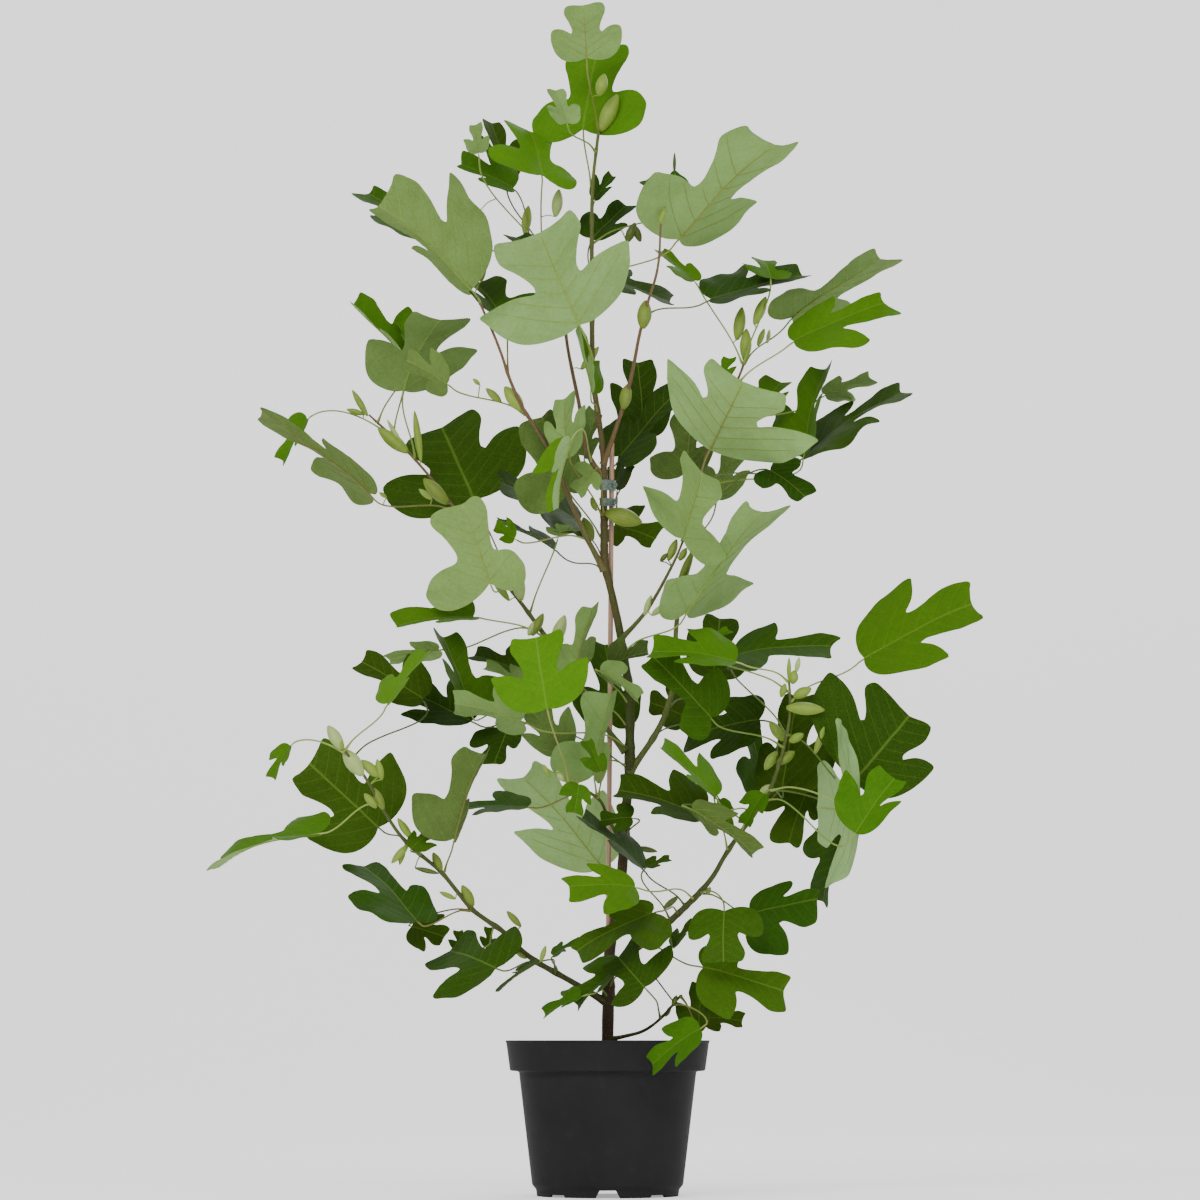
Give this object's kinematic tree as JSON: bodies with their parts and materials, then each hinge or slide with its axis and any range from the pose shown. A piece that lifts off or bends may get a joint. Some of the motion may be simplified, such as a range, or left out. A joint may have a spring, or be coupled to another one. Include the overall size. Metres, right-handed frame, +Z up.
{
  "type": "potted tulip tree",
  "caption": "Young tulip tree in a round nursery pot: a caned trunk with thin side branches and broad notched leaves on long stalks.",
  "frame": {"origin": "on the ground under the middle of the pot", "axes": "+Z up along the trunk, -Y to the front, +X to the right as seen from the front"},
  "size_m": [0.8716, 0.3743, 1.3528],
  "materials": {
    "pot": "satin",
    "soil": "matte",
    "cane": "matte",
    "tie": "satin",
    "trunk": "matte",
    "branch": "satin",
    "leaf": "satin"
  },
  "bodies": {
    "root": {"pot": "pot", "soil": "soil", "cane": "cane", "lower_tie": "tie", "upper_tie": "tie", "trunk": "trunk", "branch_low_left": "branch", "branch_low_right": "branch", "branch_rim": "branch", "branch_tall_right": "branch", "branch_short_right": "branch", "branch_left": "branch", "branch_far_left": "branch", "branch_upper_right": "branch", "branch_back": "branch", "branch_low_centre": "branch", "leaf_01": "leaf", "leaf_02": "leaf", "leaf_03": "leaf", "leaf_04": "leaf", "leaf_05": "leaf", "leaf_06": "leaf", "leaf_07": "leaf", "leaf_08": "leaf", "leaf_09": "leaf", "leaf_10": "leaf", "leaf_11": "leaf", "leaf_12": "leaf", "leaf_13": "leaf", "leaf_14": "leaf", "leaf_15": "leaf", "leaf_16": "leaf", "leaf_17": "leaf", "leaf_18": "leaf", "leaf_19": "leaf", "leaf_20": "leaf", "leaf_21": "leaf", "leaf_22": "leaf", "leaf_23": "leaf", "leaf_24": "leaf", "leaf_25": "leaf", "leaf_26": "leaf", "leaf_27": "leaf", "leaf_28": "leaf", "leaf_29": "leaf", "leaf_30": "leaf", "leaf_31": "leaf", "leaf_32": "leaf", "leaf_33": "leaf", "leaf_34": "leaf", "leaf_35": "leaf", "leaf_36": "leaf", "leaf_37": "leaf", "leaf_38": "leaf", "leaf_39": "leaf", "leaf_40": "leaf", "leaf_41": "leaf", "leaf_42": "leaf", "leaf_43": "leaf", "leaf_44": "leaf"}
  },
  "joints": []
}
